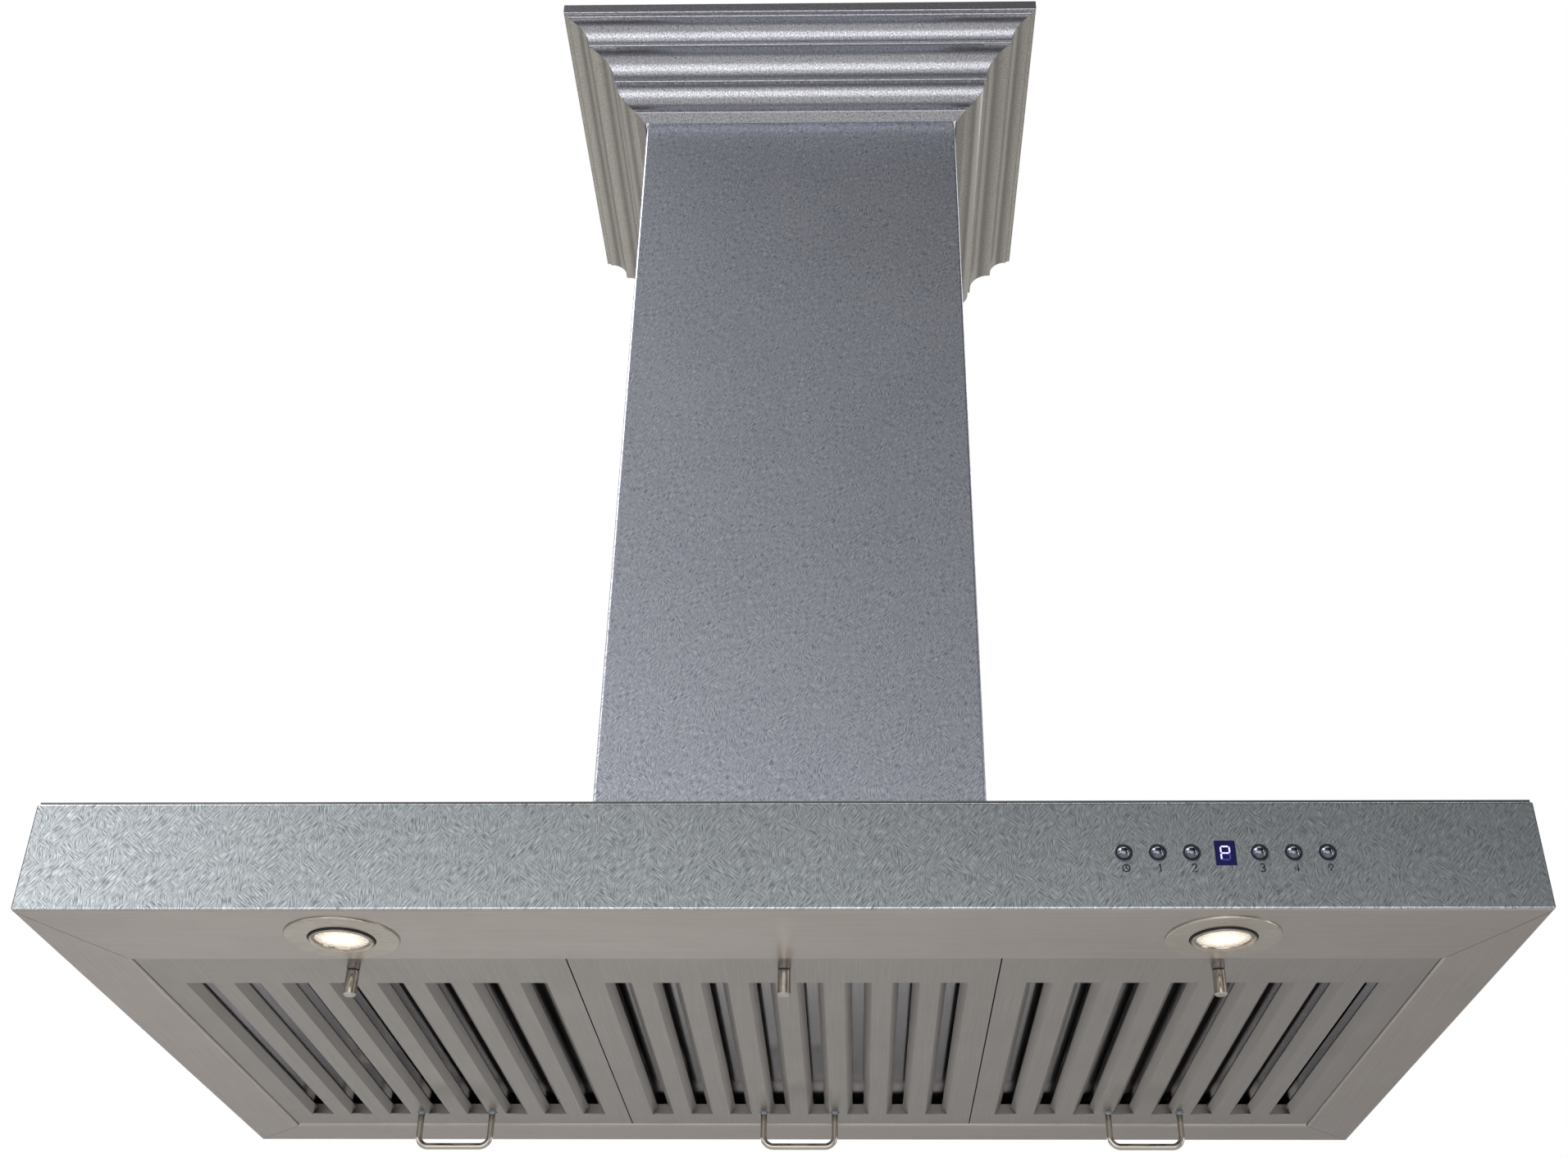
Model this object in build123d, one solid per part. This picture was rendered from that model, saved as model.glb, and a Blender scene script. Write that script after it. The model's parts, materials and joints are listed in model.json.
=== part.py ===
from build123d import *
import os
from math import cos, pi, radians, sin

# Island range hood. Millimetres. The origin is the centre of the ceiling bracket on the ceiling
# plane: +X to the cook's right, +Y away from the control panel, +Z up. The hood hangs below.

# ---- overall sizes ----
canopy_width = 914.4          # 36 inch hood
canopy_depth = 540.0
canopy_height = 70.0
hood_drop = 858.5             # ceiling to canopy underside
steel = 1.0                   # body sheet thickness
z_under = -hood_drop
z_top = z_under + canopy_height

# ---- canopy rim ----
rim_front = 86.9
rim_rear = 46.1
rim_side = 42.9
front_lip = 18.0              # upturned lips around the filter opening
rear_lip = 14.0
top_flange = 12.0
top_inset = 1.0               # top sheet inside the panels' outline
fold_radius = 2.0             # outside radius of the sheet folds
mitre_gap = 0.4
x_out = canopy_width / 2
y_out = canopy_depth / 2
x_open = x_out - rim_side
y_open_front = -y_out + rim_front
y_open_rear = y_out - rim_rear

# ---- chimney and crown ----
chimney_width = 274.0
chimney_depth = 264.0
chimney_top_gap = 6.0         # lower sleeve's top to the ceiling
sleeve_gap = 1.0              # between the two telescoping sleeves
half_gap = 0.4                # seam between front and back halves
upper_sleeve = 330.0          # length of the inner, upper sleeve
slide_travel = 250.0          # height adjustment
crown_gap = 0.8               # crown to chimney
crown_height = 76.4
crown_reach = 68.7            # inner edge of the foot to the fascia
crown_steel = 1.2
crown_arris = 1.2             # outside radius of the moulding's folds
bracket_width, bracket_drop, bracket_leg = 22.0, 8.0, 26.0
bracket_steel = 1.5
xc = chimney_width / 2
yc = chimney_depth / 2

# ---- telescoping frame ----
plate_thick = 2.5
plate_flange = 22.0
duct_hole_r = 77.0
bolt_x, bolt_y, bolt_r = 80.0, 108.0, 3.5
angle_leg = 25.0
angle_thick = 2.0
angle_inset = 6.0             # lower angles, in from the lower sleeve's inner face
angle_slide_gap = 0.2
lower_angle_top = -180.0
upper_angle_bottom = -500.0
seat_height = 20.0
seat_thick = 2.0

# ---- baffle filters ----
filter_count = 3
filter_gap = 0.9
filter_rise = 1.5             # filter face above the canopy underside
filter_steel = 0.8
filter_wall = 12.0
slot_count = 8
slot_pitch = 31.5
slot_width = 18.0
slot_front = 49.0             # filter's front edge to the slots
slot_rear = 29.0              # slots to the filter's rear edge
flank_rise = 5.0
flank_run = 4.5
flare = 3.0                   # length over which the flanks taper at the slot ends
hook_reach = 8.0
seat_clear = 0.3
baffle_base = 10.0            # height of the baffles above the filter face
baffle_rise = 6.0
baffle_half_top = 6.5
baffle_half_base = 12.5
rail_front = 28.0             # baffle rail behind the filter's front edge
rail_rear = 20.0
rail_thick = 2.0
rail_overhang = 2.0           # baffles beyond the outer face of each rail
wire_r = 2.5
handle_half = 28.5            # leg centre from the filter's centre
handle_drop = 29.5
handle_bend = 8.0
handle_rear = 36.0            # handle in from the filter's rear edge

# ---- filter latches ----
latch_in = 14.4               # knob axis behind the filter's front edge
knob_r = 4.25
knob_length = 15.5
knob_chamfer = 0.8
knob_gap = 0.1                # knob to its bush
boss_height = 3.0
bush_flange = 1.0
bush_step = 0.5               # bush flange inside the knob's edge
bush_height = 6.0             # bush above the filter face
spindle_r = 2.0
run_clear = 0.06              # radial clearance of running fits
bush_wall = 1.4
cam_base = 12.6               # cam above the filter face
cam_thick = 3.0
cam_r = 6.0
cam_tip_r = 3.0
cam_clear = 0.5

# ---- controls ----
control_z = 35.5              # button row above the underside
control_x = 267.5             # display centre
control_pitch = 20.3
button_r = 4.4
button_proud = 4.1            # crown of the domed cap in front of the panel
button_travel = 1.2
button_collar = 0.8
button_stem_r = 1.8
bezel_flange_r = 5.7
bezel_flange = 0.8
bezel_round = 0.35
bezel_sleeve_r = 5.1
bezel_sleeve = 3.5
bezel_gap = 0.3               # sleeve to the collar behind it
cutout_gap = 0.1              # bezels and display window in their panel cut-outs
display_w, display_h, display_t = 12.6, 15.8, 3.0
display_inset = 0.2
display_body_w, display_body_h = 16.0, 20.0
control_box_depth = 12.6
control_box_wall = 1.6
control_box_half_x = 76.0
control_box_half_z = 16.0
board_thick = 1.2
board_in = 7.6                # board's front face behind the panel's inner face
switch_high = 1.8
switch_size = 6.0
board_edge = 0.3              # board to the box walls
board_stop = 3.0
switch_gap = 0.3              # stem to switch with the button pressed home

power_x, power_y = 250.0, 70.0   # wiring box under the canopy top
power_size = (140.0, 120.0, 42.0)
power_wall = 1.6

# ---- lamps ----
lamp_x = 270.0
lamp_in = 45.5                # lamp axis behind the front face
trim_r = 35.4
trim_bore_r = 21.0
trim_flange = 1.4
can_r = 30.5
can_height = 44.0
can_wall = 1.2
lamp_ring_r = 20.4
lens_r = 16.0
pivot_r = 1.5
lamp_z = 2.0                  # gimbal axis above the underside
lamp_ring_half = 5.0
lamp_face = 1.0               # glass face below the gimbal axis
lamp_glass = 3.0
reflector_height, reflector_taper = 20.0, 22
lamp_base_r, lamp_base_height = 7.0, 7.0
pivot_inset = 5.0             # pivot ends inside the can
pivot_end_gap = 1.0
trim_round = 1.0
trim_gap = 0.1                # can in its panel hole

# ---- blower ----
inlet_r = 95.0
blower_half = 118.0
blower_height = 215.0
blower_flange = 12.0          # flange turned in at the foot of the box
scroll_half = 48.0
scroll_axis_y = -30.0
scroll_axis_z = 105.0
scroll_r0, scroll_r1 = 67.0, 86.0
cutoff_angle = 130.0          # where the spiral starts, from +Y
impeller_r = 62.0
impeller_half = 43.0
blade_inner_r = 50.0
blade_count = 36
blade_thick = 0.8
impeller_disc = 1.5
hub_r, hub_length = 12.0, 12.0
shaft_r = 4.0
motor_r = 38.0
motor_start, motor_end = 8.0, 56.0
motor_round = 4.0
bearing_depth = 5.0           # blind end of the shaft bore
strap_thick, strap_ring, arm_half, arm_lap = 3.0, 6.0, 8.0, 14.0
collar_r = 74.7
collar_height = 50.0
collar_flange_r = 86.0
flap_z = 24.0
flap_pin_r = 1.5
flap_pin_y = 2.3
flap_thick = 1.0
flap_clear = 0.8


# ---- helpers ----
def block(x0, x1, y0, y1, z0, z1):
    return Pos((x0 + x1) / 2, (y0 + y1) / 2, (z0 + z1) / 2) * Box(x1 - x0, y1 - y0, z1 - z0)


def rounded_block(half_x, half_y, z0, z1):
    """A block that fits the inside corners of a folded sleeve."""
    solid = block(-half_x, half_x, -half_y, half_y, z0, z1)
    return fillet(solid.edges().filter_by(Axis.Z), fold_radius - steel)


def rod_z(x, y, z0, z1, r):
    return Pos(x, y, (z0 + z1) / 2) * Cylinder(r, z1 - z0)


def rod_y(x, z, y0, y1, r):
    return Pos(x, (y0 + y1) / 2, z) * Rot(90, 0, 0) * Cylinder(r, y1 - y0)


def rod_x(y, z, x0, x1, r):
    return Pos((x0 + x1) / 2, y, z) * Rot(0, 90, 0) * Cylinder(r, x1 - x0)


def plan_prism(points, z0, z1):
    return extrude(Pos(0, 0, z0) * make_face(Polyline(*points, close=True)), z1 - z0)


def round_corner(face, point, radius):
    corner = min(face.vertices(), key=lambda v: (v.X - point[0]) ** 2 + (v.Y - point[1]) ** 2)
    return fillet(corner, radius)


def along_x(face, x0, x1):
    """Extrude a face drawn in (y, z) from x0 to x1."""
    return Pos(x0, 0, 0) * extrude(Plane.YZ * face, x1 - x0)


def along_y(face, y0, y1):
    """Extrude a face drawn in (x, z) from y0 to y1."""
    return Pos(0, y0, 0) * extrude(Plane.XZ * face, -(y1 - y0))


def save(name, *solids):
    """Write one node as one STEP file."""
    pieces = [s for item in solids for s in item.solids()]
    export_step(pieces[0] if len(pieces) == 1 else Compound(pieces), f"parts/{name}.step")


# ---- canopy ----
def panel_section(rim, lip):
    """Folded panel in (inward, z): top flange, face, rim and upturned lip."""
    high, low, t = z_top - steel, z_under, steel
    outer = [(top_flange, high), (0, high), (0, low), (rim, low), (rim, low + lip)]
    inner = [(rim - t, low + lip), (rim - t, low + t), (t, low + t), (t, high - t),
             (top_flange, high - t)]
    face = make_face(Polyline(*outer, *inner, close=True))
    for point, radius in (((0, high), fold_radius), ((0, low), fold_radius), ((rim, low), fold_radius),
                          ((t, high - t), fold_radius - t), ((t, low + t), fold_radius - t),
                          ((rim - t, low + t), fold_radius - t)):
        face = round_corner(face, point, radius)
    return face


def canopy_end_panel(rim, lip, front):
    """Front or rear panel, mitred at both ends."""
    side = -1 if front else 1
    body = along_x(panel_section(rim, lip), -x_out, x_out)
    body = Pos(0, -y_out, 0) * body if front else Pos(0, y_out, 0) * Rot(0, 0, 180) * body
    wide, narrow = x_out - mitre_gap, x_open - mitre_gap
    y0, y1 = side * y_out, side * (y_out - rim)
    plan = [(-wide, y0), (wide, y0), (narrow, y1), (-narrow, y1)]
    return body & plan_prism(plan, z_under - 1, z_top + 1)


def canopy_side_panel(side):
    """Left (side -1) or right (side +1) panel, mitred at both ends."""
    body = along_x(panel_section(rim_side, rear_lip), -y_out, y_out)
    body = Pos(side * x_out, 0, 0) * Rot(0, 0, 90 if side > 0 else -90) * body
    x0, x1 = side * x_out, side * x_open
    plan = [(x0, -y_out), (x0, y_out), (x1, y_open_rear), (x1, y_open_front)]
    return body & plan_prism(plan, z_under - 1, z_top + 1)


def control_places():
    """X of the six buttons: three each side of the display."""
    return [control_x + control_pitch * k for k in (-3, -2, -1, 1, 2, 3)]


def make_canopy():
    z = z_under + control_z
    front = canopy_end_panel(rim_front, front_lip, True)
    for x in control_places():
        front -= rod_y(x, z, -y_out - 1, -y_out + 3, bezel_sleeve_r)
    front -= block(control_x - display_w / 2, control_x + display_w / 2, -y_out - 1, -y_out + 3,
                   z - display_h / 2, z + display_h / 2)
    for x in (-lamp_x, lamp_x):
        front -= rod_z(x, -y_out + lamp_in, z_under - 1, z_under + 3, can_r)
    save("canopy_front", front)
    save("canopy_rear", canopy_end_panel(rim_rear, rear_lip, False))
    save("canopy_left", canopy_side_panel(-1))
    save("canopy_right", canopy_side_panel(1))
    hx, hy = x_out - top_inset, y_out - top_inset
    top = block(-hx, hx, -hy, hy, z_top - steel, z_top)
    save("canopy_top", top - rod_z(0, 0, z_top - 2, z_top + 1, inlet_r))


# ---- chimney ----
def sleeve_half(half_x, half_y, z0, z1, front):
    """One U-shaped half of a sheet sleeve."""
    outer = Rectangle(2 * half_x, 2 * half_y)
    outer = fillet(outer.vertices(), fold_radius)
    inner = Rectangle(2 * (half_x - steel), 2 * (half_y - steel))
    inner = fillet(inner.vertices(), fold_radius - steel)
    tube = extrude(Pos(0, 0, z0) * (outer - inner), z1 - z0)
    y0, y1 = (-half_y - 1, -half_gap / 2) if front else (half_gap / 2, half_y + 1)
    return tube & block(-half_x - 1, half_x + 1, y0, y1, z0 - 1, z1 + 1)


def make_chimney():
    inner_x, inner_y = xc - steel - sleeve_gap, yc - steel - sleeve_gap
    for front, word in ((True, "front"), (False, "back")):
        save(f"lower_chimney_{word}", sleeve_half(xc, yc, z_top, -chimney_top_gap, front))
        save(f"upper_chimney_{word}", sleeve_half(inner_x, inner_y, -upper_sleeve, 0, front))
    ox, oy = xc - steel, yc - steel
    seat = rounded_block(ox, oy, z_top, z_top + seat_height)
    ix, iy = ox - seat_thick, oy - seat_thick
    save("chimney_seat", seat - block(-ix, ix, -iy, iy, z_top - 1, z_top + seat_height + 1))


# ---- crown moulding ----
def crown_section():
    """Sheet moulding in (projection, height): flat foot, ovolo, two coves and a fascia."""
    foot, step = (7.8, 5.6), 1.8
    ovolo_end = (23.8, 25.0)
    cove_a, cove_a_end = (26.2, 27.4), (45.0, 47.6)
    cove_b, cove_b_end = (47.6, 50.6), (65.2, 64.6)
    fascia = (crown_reach, 66.4)
    low = [Line((0, 0), foot), Line(foot, (foot[0], foot[1] + step))]
    ovolo_start = (foot[0] + step, foot[1] + step)
    low += [Line((foot[0], foot[1] + step), ovolo_start), quarter(ovolo_start, ovolo_end, False)]
    low += [Line(ovolo_end, (cove_a[0], ovolo_end[1])), Line((cove_a[0], ovolo_end[1]), cove_a)]
    low += [quarter(cove_a, cove_a_end, True), Line(cove_a_end, (cove_b[0], cove_a_end[1]))]
    low += [Line((cove_b[0], cove_a_end[1]), cove_b), quarter(cove_b, cove_b_end, True)]
    low += [Line(cove_b_end, (cove_b_end[0], fascia[1])), Line((cove_b_end[0], fascia[1]), fascia)]
    low += [Line(fascia, (fascia[0], crown_height))]
    shift = Pos(-crown_steel, crown_steel, 0)
    high = [shift * edge for edge in low[:-1]]
    inner_end = (fascia[0] - crown_steel, fascia[1] + crown_steel)
    ends = [Line((0, 0), (-crown_steel, crown_steel)), Line(inner_end, (inner_end[0], crown_height)),
            Line((inner_end[0], crown_height), (fascia[0], crown_height))]
    face = make_face(Wire(edges_of(low + high + ends)))
    for arris in (foot, (cove_a[0], ovolo_end[1]), (cove_b[0], cove_a_end[1]), cove_b_end, fascia):
        face = round_corner(face, arris, crown_arris)
    return Pos(crown_steel, 0, 0) * face


def edges_of(curves):
    return [edge for curve in curves for edge in curve.edges()]


def quarter(start, end, hollow):
    """Elliptical quarter from start to end: upright at its foot when hollow, flat when not."""
    dx, dz = end[0] - start[0], end[1] - start[1]
    bulge = sin(pi / 4)
    if hollow:
        middle = (start[0] + dx * (1 - bulge), start[1] + dz * bulge)
    else:
        middle = (start[0] + dx * bulge, start[1] + dz * (1 - bulge))
    return ThreePointArc(start, middle, end)


def make_crown():
    section = Pos(crown_gap, -crown_height, 0) * crown_section()
    reach = 90.0
    front = Pos(0, -yc, 0) * Rot(0, 0, 180) * along_x(section, -xc - reach, xc + reach)
    plan = [(-xc, -yc), (xc, -yc), (xc + reach, -yc - reach), (-xc - reach, -yc - reach)]
    save("crown_front", front & plan_prism(plan, -crown_height - 1, 1))
    for side, word in ((-1, "left"), (1, "right")):
        body = Pos(side * xc, 0, 0) * Rot(0, 0, -90 * side) * along_x(section, -yc - reach, yc + reach)
        x0, x1 = side * (xc + mitre_gap), side * (xc + reach + mitre_gap)
        plan = [(x0, -yc), (x0, yc), (x1, yc), (x1, -yc - reach)]
        save(f"crown_{word}", body & plan_prism(plan, -crown_height - 1, 1))
    save("crown_brackets", *crown_brackets())


def crown_brackets():
    """Small angles that hold the mouldings up to the ceiling, behind the fascia."""
    inside = crown_gap + crown_reach
    half = bracket_width / 2

    def bracket():
        face = block(-half, half, -inside, -inside + bracket_steel, -bracket_drop, 0)
        return face + block(-half, half, -inside, -inside + bracket_leg, -bracket_steel, 0)

    places = [Pos(x, -yc, 0) for x in (-90, 90)]
    places += [Pos(side * xc, y, 0) * Rot(0, 0, 90 * side) for side in (-1, 1) for y in (-80, 80)]
    return [place * bracket() for place in places]


# ---- telescoping frame ----
def corner_angle(sx, sy, x, y, z0, z1):
    leg_x = block(*sorted((sx * (x - angle_leg), sx * x)), *sorted((sy * (y - angle_thick), sy * y)),
                  z0, z1)
    leg_y = block(*sorted((sx * (x - angle_thick), sx * x)), *sorted((sy * (y - angle_leg), sy * y)),
                  z0, z1)
    return leg_x + leg_y


def make_frame():
    corners = [(sx, sy) for sx in (-1, 1) for sy in (-1, 1)]
    lx, ly = xc - steel - angle_inset, yc - steel - angle_inset
    lower = [corner_angle(sx, sy, lx, ly, z_top, lower_angle_top) for sx, sy in corners]
    save("lower_uprights", *lower)
    inset = angle_thick + angle_slide_gap
    upper = [corner_angle(sx, sy, lx - inset, ly - inset, upper_angle_bottom, -plate_thick)
             for sx, sy in corners]
    save("upper_uprights", *upper)
    px, py = xc - 2 * steel - sleeve_gap, yc - 2 * steel - sleeve_gap
    plate = rounded_block(px, py, -plate_flange, 0)
    qx, qy = px - plate_thick, py - plate_thick
    plate -= block(-qx, qx, -qy, qy, -plate_flange - 1, -plate_thick)
    plate -= rod_z(0, 0, -plate_thick - 1, 1, duct_hole_r)
    for sx, sy in corners:
        plate -= rod_z(sx * bolt_x, sy * bolt_y, -plate_thick - 1, 1, bolt_r)
    save("ceiling_plate", plate)


# ---- filters ----
filter_width = 2 * x_open / filter_count - filter_gap
filter_y0 = y_open_front + filter_gap
filter_y1 = y_open_rear - filter_gap
filter_z = z_under + filter_rise
slot_y0 = filter_y0 + slot_front
slot_y1 = filter_y1 - slot_rear


def trough(x0, x1, left_flank, right_flank):
    """One ridge of the stamped plate with its bent-up flanks, tapered at the slot ends."""
    t, z = filter_steel, filter_z
    lift = t * (flank_rise ** 2 + flank_run ** 2) ** 0.5 / flank_run
    back = (lift - t) * flank_run / flank_rise
    low, high = [], []
    if left_flank:
        low.append((x0 - flank_run, z + flank_rise))
        high.append((x0 - flank_run, z + flank_rise + lift))
    low += [(x0, z), (x1, z)]
    high += [(x0 + back if left_flank else x0, z + t), (x1 - back if right_flank else x1, z + t)]
    if right_flank:
        low.append((x1 + flank_run, z + flank_rise))
        high.append((x1 + flank_run, z + flank_rise + lift))
    body = along_y(make_face(Polyline(*low, *reversed(high), close=True)), slot_y0, slot_y1)
    left = x0 - flank_run if left_flank else x0
    right = x1 + flank_run if right_flank else x1
    plan = [(x0, slot_y0), (x1, slot_y0)]
    plan += [(right, slot_y0 + flare), (right, slot_y1 - flare)] if right_flank else []
    plan += [(x1, slot_y1), (x0, slot_y1)]
    plan += [(left, slot_y1 - flare), (left, slot_y0 + flare)] if left_flank else []
    return body & plan_prism(plan, z - 1, z + 10)


def filter_plate():
    """Stamped lower plate with walls, baffle rails, rear hook and latch boss, about x = 0."""
    half, t, z = filter_width / 2, filter_steel, filter_z
    plate = block(-half, half, filter_y0, slot_y0, z, z + t)
    plate += block(-half, half, slot_y1, filter_y1, z, z + t)
    first = -slot_pitch * (slot_count - 1) / 2
    for k in range(slot_count + 1):
        x0 = first + slot_pitch * (k - 1) + slot_width / 2 if k else -half
        x1 = first + slot_pitch * k - slot_width / 2 if k < slot_count else half
        plate += trough(x0, x1, k > 0, k < slot_count)
    for x in (-half, half - t):
        plate += block(x, x + t, filter_y0, filter_y1, z, z + filter_wall)
    plate += block(-half, half, filter_y0, filter_y0 + t, z, z + filter_wall)
    hook_z = z_under + rear_lip + seat_clear
    plate += block(-half, half, filter_y1 - t, filter_y1, z, hook_z + t)
    plate += block(-half, half, filter_y1 - t, filter_y1 + hook_reach, hook_z, hook_z + t)
    for y in (filter_y0 + rail_front, filter_y1 - rail_rear - rail_thick):
        plate += block(-half, half, y, y + rail_thick, z, z + baffle_base)
    y = filter_y0 + latch_in
    plate += rod_z(0, y, z - boss_height, z, knob_r)
    return plate - rod_z(0, y, z - boss_height - 1, z + 2, spindle_r + run_clear + bush_wall)


def filter_baffles():
    """Inverted channels over the slots, resting on the two rails."""
    t, z = filter_steel, filter_z + baffle_base
    top = z + baffle_rise
    lean = 1.2 * t
    outline = [(-baffle_half_base, z), (-baffle_half_top, top), (baffle_half_top, top),
               (baffle_half_base, z), (baffle_half_base - lean, z), (baffle_half_top - t / 2, top - t),
               (-baffle_half_top + t / 2, top - t), (-baffle_half_base + lean, z)]
    channel = along_y(make_face(Polyline(*outline, close=True)),
                      filter_y0 + rail_front - rail_overhang, filter_y1 - rail_rear + rail_overhang)
    first = -slot_pitch * (slot_count - 1) / 2
    return [Pos(first + slot_pitch * k, 0, 0) * channel for k in range(slot_count)]


def filter_handle():
    """Bent wire handle, welded to the plate by its two legs."""
    y, z = filter_y1 - handle_rear, filter_z
    low = z - handle_drop + wire_r
    path = FilletPolyline((-handle_half, y, z), (-handle_half, y, low), (handle_half, y, low),
                          (handle_half, y, z), radius=handle_bend)
    return sweep(Plane(origin=(-handle_half, y, z), z_dir=(0, 0, -1)) * Circle(wire_r), path)


def latch_parts():
    """Black bush, steel knob with its spindle, and the cam that bears on the front lip."""
    y, z = filter_y0 + latch_in, filter_z
    bore = spindle_r + run_clear
    bush = rod_z(0, y, z - boss_height - bush_flange, z - boss_height, knob_r - bush_step)
    bush += rod_z(0, y, z - boss_height - bush_flange, z + bush_height, bore + bush_wall)
    bush -= rod_z(0, y, z - boss_height - bush_flange - 1, z + bush_height + 1, bore)
    knob_top = z - boss_height - bush_flange - knob_gap
    knob = rod_z(0, y, knob_top - knob_length, knob_top, knob_r)
    knob = chamfer(knob.edges().group_by(Axis.Z)[0], knob_chamfer)
    knob += rod_z(0, y, knob_top - 1, z + cam_base + cam_thick + 1, spindle_r)
    tip = latch_in + filter_gap - cam_clear - cam_tip_r
    low, high = z + cam_base, z + cam_base + cam_thick
    cam = rod_z(0, y, low, high, cam_r) + rod_z(0, y - tip, low, high, cam_tip_r)
    flank = [(-cam_r, y), (cam_r, y), (cam_tip_r, y - tip), (-cam_tip_r, y - tip)]
    cam += plan_prism(flank, low, high)
    return bush, knob, cam - rod_z(0, y, low - 1, high + 1, spindle_r)


def make_filters():
    plate, baffles, handle = filter_plate(), filter_baffles(), filter_handle()
    bush, knob, cam = latch_parts()
    pitch = 2 * x_open / filter_count
    for k, word in ((-1, "left"), (0, "centre"), (1, "right")):
        move = Pos(k * pitch, 0, 0)
        save(f"filter_plate_{word}", move * plate)
        save(f"filter_baffles_{word}", *[move * b for b in baffles])
        save(f"filter_handle_{word}", move * handle)
        save(f"latch_bush_{word}", move * bush)
        save(f"latch_knob_{word}", move * knob)
        save(f"latch_cam_{word}", move * cam)


# ---- controls ----
def make_controls():
    z, face = z_under + control_z, -y_out
    board_y = face + steel + board_in
    switch_y = board_y - switch_high
    bezels = []
    for number, x in enumerate(control_places(), 1):
        flange = rod_y(x, z, face - bezel_flange, face, bezel_flange_r)
        ring = fillet(flange.edges().sort_by(Axis.Y)[0], bezel_round)
        ring += rod_y(x, z, face - bezel_flange, face + bezel_sleeve, bezel_sleeve_r - cutout_gap)
        bezels.append(ring - rod_y(x, z, face - 2, face + bezel_sleeve + 1, button_r + run_clear))
        back = face + bezel_sleeve + bezel_gap
        dome = face - button_proud + button_r
        cap = rod_y(x, z, dome, back, button_r) + Pos(x, dome, z) * Sphere(button_r)
        collar = rod_y(x, z, back, back + button_collar, bezel_sleeve_r)
        stem = rod_y(x, z, back, switch_y - button_travel - switch_gap, button_stem_r)
        save(f"button_{number}", cap + collar + stem)
    save("button_bezels", *bezels)
    half_w, half_h = display_w / 2 - cutout_gap, display_h / 2 - cutout_gap
    front = face + display_inset
    window = block(control_x - half_w, control_x + half_w, front, front + display_t,
                   z - half_h, z + half_h)
    half_w, half_h = display_body_w / 2, display_body_h / 2
    body = block(control_x - half_w, control_x + half_w, front + display_t, board_y,
                 z - half_h, z + half_h)
    save("display", window + body)
    hx, hz, w = control_box_half_x, control_box_half_z, control_box_wall
    y0, y1 = face + steel, face + steel + control_box_depth
    case = block(control_x - hx, control_x + hx, y0, y1, z - hz, z + hz)
    case -= block(control_x - hx + w, control_x + hx - w, y0 - 1, y1 - w, z - hz + w, z + hz - w)
    for x in (control_x - hx + w, control_x + hx - w - board_stop):
        case += block(x, x + board_stop, board_y + board_thick, y1 - w, z - hz + w, z + hz - w)
    save("control_box", case)
    hx, hz = hx - w - board_edge, hz - w - board_edge
    board = block(control_x - hx, control_x + hx, board_y, board_y + board_thick, z - hz, z + hz)
    half = switch_size / 2
    for x in control_places():
        board += block(x - half, x + half, switch_y, board_y, z - half, z + half)
    save("control_board", board)
    save("power_box", power_box())


def power_box():
    """Tray that covers the wiring, open towards the canopy top."""
    x0, y0 = power_x, power_y
    x1, y1 = x0 + power_size[0], y0 + power_size[1]
    low, high, w = z_top - steel - power_size[2], z_top - steel, power_wall
    return block(x0, x1, y0, y1, low, high) - block(x0 + w, x1 - w, y0 + w, y1 - w, low + w, high + 1)


# ---- lamps ----
def make_lamps():
    y = -y_out + lamp_in
    axis_z = z_under + lamp_z
    trims = []
    for side, word in ((-1, "left"), (1, "right")):
        x = side * lamp_x
        trim = rod_z(x, y, z_under - trim_flange, z_under, trim_r)
        trim = fillet(trim.edges().group_by(Axis.Z)[0], trim_round)
        can = can_r - trim_gap
        trim += rod_z(x, y, z_under - trim_flange, z_under + can_height, can)
        trim -= rod_z(x, y, z_under + 2 * lamp_z, z_under + can_height - can_wall, can - can_wall)
        trim -= rod_z(x, y, z_under - trim_flange - 1, z_under + 2 * lamp_z + 1, trim_bore_r)
        pivot = can_r - pivot_inset
        bore = pivot + pivot_end_gap
        trim -= rod_x(y, axis_z, x - bore, x + bore, pivot_r + run_clear)
        trims.append(trim)
        ring = rod_z(x, y, axis_z - lamp_ring_half, axis_z + lamp_ring_half, lamp_ring_r)
        ring &= Pos(x, y, axis_z) * Sphere(lamp_ring_r)
        ring += rod_x(y, axis_z, x - pivot, x + pivot, pivot_r)
        reach = lamp_ring_half + 1
        ring -= rod_z(x, y, axis_z - reach, axis_z + reach, lens_r)
        rear = axis_z - lamp_face + lamp_glass
        bulb = rod_z(x, y, axis_z - lamp_face, rear, lens_r)
        cone = extrude(Pos(x, y, rear) * Circle(lens_r), reflector_height,
                       taper=reflector_taper)
        top = rear + reflector_height
        base = rod_z(x, y, top - can_wall, top - can_wall + lamp_base_height, lamp_base_r)
        save(f"lamp_{word}", ring + bulb + cone + base)
    save("light_trims", *trims)


# ---- blower ----
def scroll_outline(grow):
    """Volute in (y, z): a spiral whose radius grows towards the upright outlet."""
    steps = 24
    points = []
    for k in range(steps + 1):
        turn = radians(cutoff_angle + (360 - cutoff_angle) * k / steps)
        r = scroll_r0 + (scroll_r1 - scroll_r0) * k / steps + grow
        points.append((scroll_axis_y + r * cos(turn), z_top + scroll_axis_z + r * sin(turn)))
    top = z_top + blower_height - steel
    spiral = Spline(*points)
    left, right = points[0], points[-1]
    sides = Polyline(right, (right[0], top), (left[0], top), left)
    return make_face(Wire(edges_of([spiral, sides])))


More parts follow.
